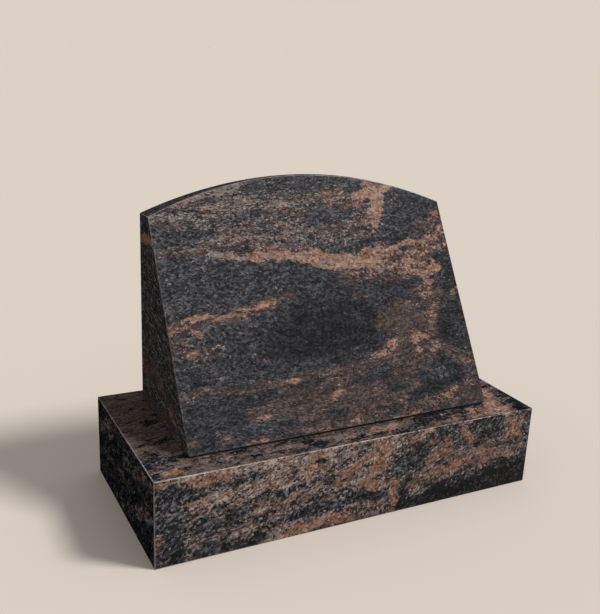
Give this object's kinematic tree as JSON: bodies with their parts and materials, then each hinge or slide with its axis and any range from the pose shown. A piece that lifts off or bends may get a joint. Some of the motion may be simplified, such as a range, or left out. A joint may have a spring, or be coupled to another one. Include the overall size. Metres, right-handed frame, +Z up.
{
  "type": "slant headstone",
  "caption": "Wedge-shaped polished granite headstone with an arched top and a slanted inscription face, dowelled on a broad base stone.",
  "frame": {"origin": "centre of the base stone's underside, at ground level", "axes": "+X along the base to the viewer's right, -Y the way the inscription face looks, +Z up"},
  "size_m": [0.762, 0.356, 0.5774],
  "materials": {
    "polished_stone": "gloss",
    "setting_compound": "matte",
    "stainless_steel": "satin",
    "anchor_resin": "satin",
    "spacer_plastic": "matte"
  },
  "bodies": {
    "root": {"base": "polished_stone", "slant_stone": "polished_stone", "bed_joint": "setting_compound", "dowel_left": "stainless_steel", "dowel_right": "stainless_steel", "dowel_resin_left": "anchor_resin", "dowel_resin_right": "anchor_resin", "spacer_front_left": "spacer_plastic", "spacer_front_right": "spacer_plastic", "spacer_back_left": "spacer_plastic", "spacer_back_right": "spacer_plastic"}
  },
  "joints": []
}
